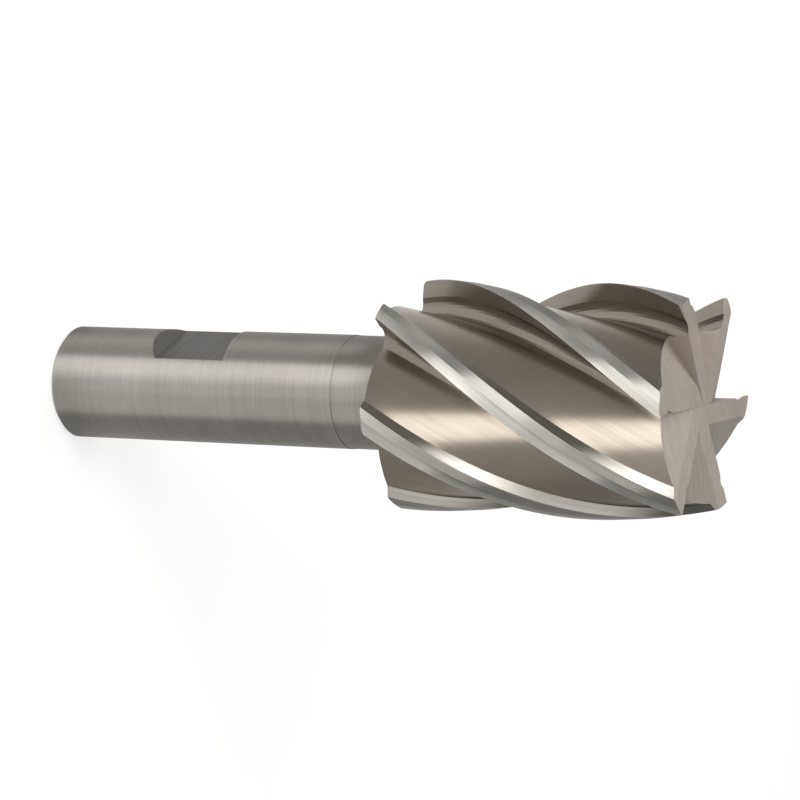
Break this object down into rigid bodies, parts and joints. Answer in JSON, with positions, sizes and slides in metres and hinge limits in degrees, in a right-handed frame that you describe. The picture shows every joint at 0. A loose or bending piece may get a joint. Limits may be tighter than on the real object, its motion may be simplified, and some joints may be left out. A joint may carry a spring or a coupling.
{
  "type": "end mill",
  "caption": "Helical-fluted end mill with gashed end teeth, a cutting head wider than its shank, and a clamping flat on the shank for cutting metal in a milling machine.",
  "frame": {"origin": "centre of the shank end face, which the tool stands on", "axes": "+Z along the tool's axis from the shank end to the cutting end, +X out of the clamping flat"},
  "size_m": [0.038, 0.038, 0.1162],
  "materials": {
    "ground_steel": "ground high-speed steel, satin"
  },
  "bodies": {
    "root": {"end_mill": "ground_steel"}
  },
  "joints": []
}
